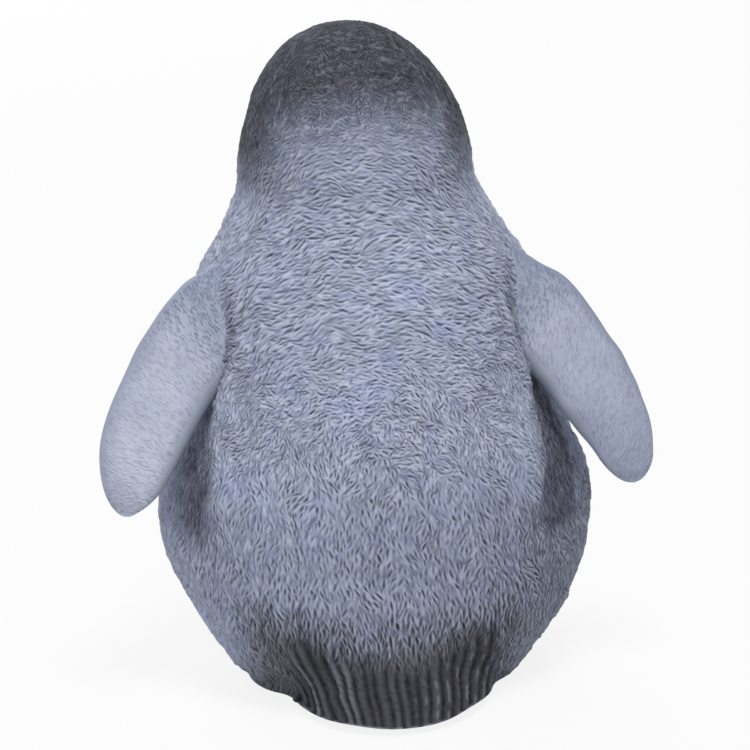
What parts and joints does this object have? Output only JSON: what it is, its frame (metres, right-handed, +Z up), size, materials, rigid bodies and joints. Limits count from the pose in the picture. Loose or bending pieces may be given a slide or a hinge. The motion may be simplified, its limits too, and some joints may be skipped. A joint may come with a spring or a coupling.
{
  "type": "penguin figurine",
  "caption": "Free-standing penguin chick ornament: a hollow cast body with sculpted plumage, pegged flippers, feet, beak and eyes, and a closed base on soft pads.",
  "frame": {"origin": "on the table under the middle of the figure's box, between the toe tips and the tail", "axes": "+Z up, the face looks along -Y and the tail points along +Y, +X to the figure's left side"},
  "size_m": [0.1454, 0.1141, 0.1755],
  "materials": {
    "plumage": "painted resin, blue-grey with dark washes",
    "flipper": "painted resin, pale blue-grey",
    "pin": "plain steel",
    "foot": "painted resin, charcoal",
    "beak": "satin painted resin, black",
    "eye": "gloss, dark brown to black",
    "base": "unpainted resin",
    "plug": "matt",
    "pad": "felt"
  },
  "bodies": {
    "root": {"body_shell": "plumage", "left_flipper": "flipper", "right_flipper": "flipper", "left_flipper_pin": "pin", "right_flipper_pin": "pin", "left_foot": "foot", "right_foot": "foot", "beak": "beak", "left_eye": "eye", "right_eye": "eye", "base_plate": "base", "vent_plug": "plug", "pad_front_left": "pad", "pad_front_right": "pad", "pad_rear_left": "pad", "pad_rear_right": "pad"}
  },
  "joints": []
}
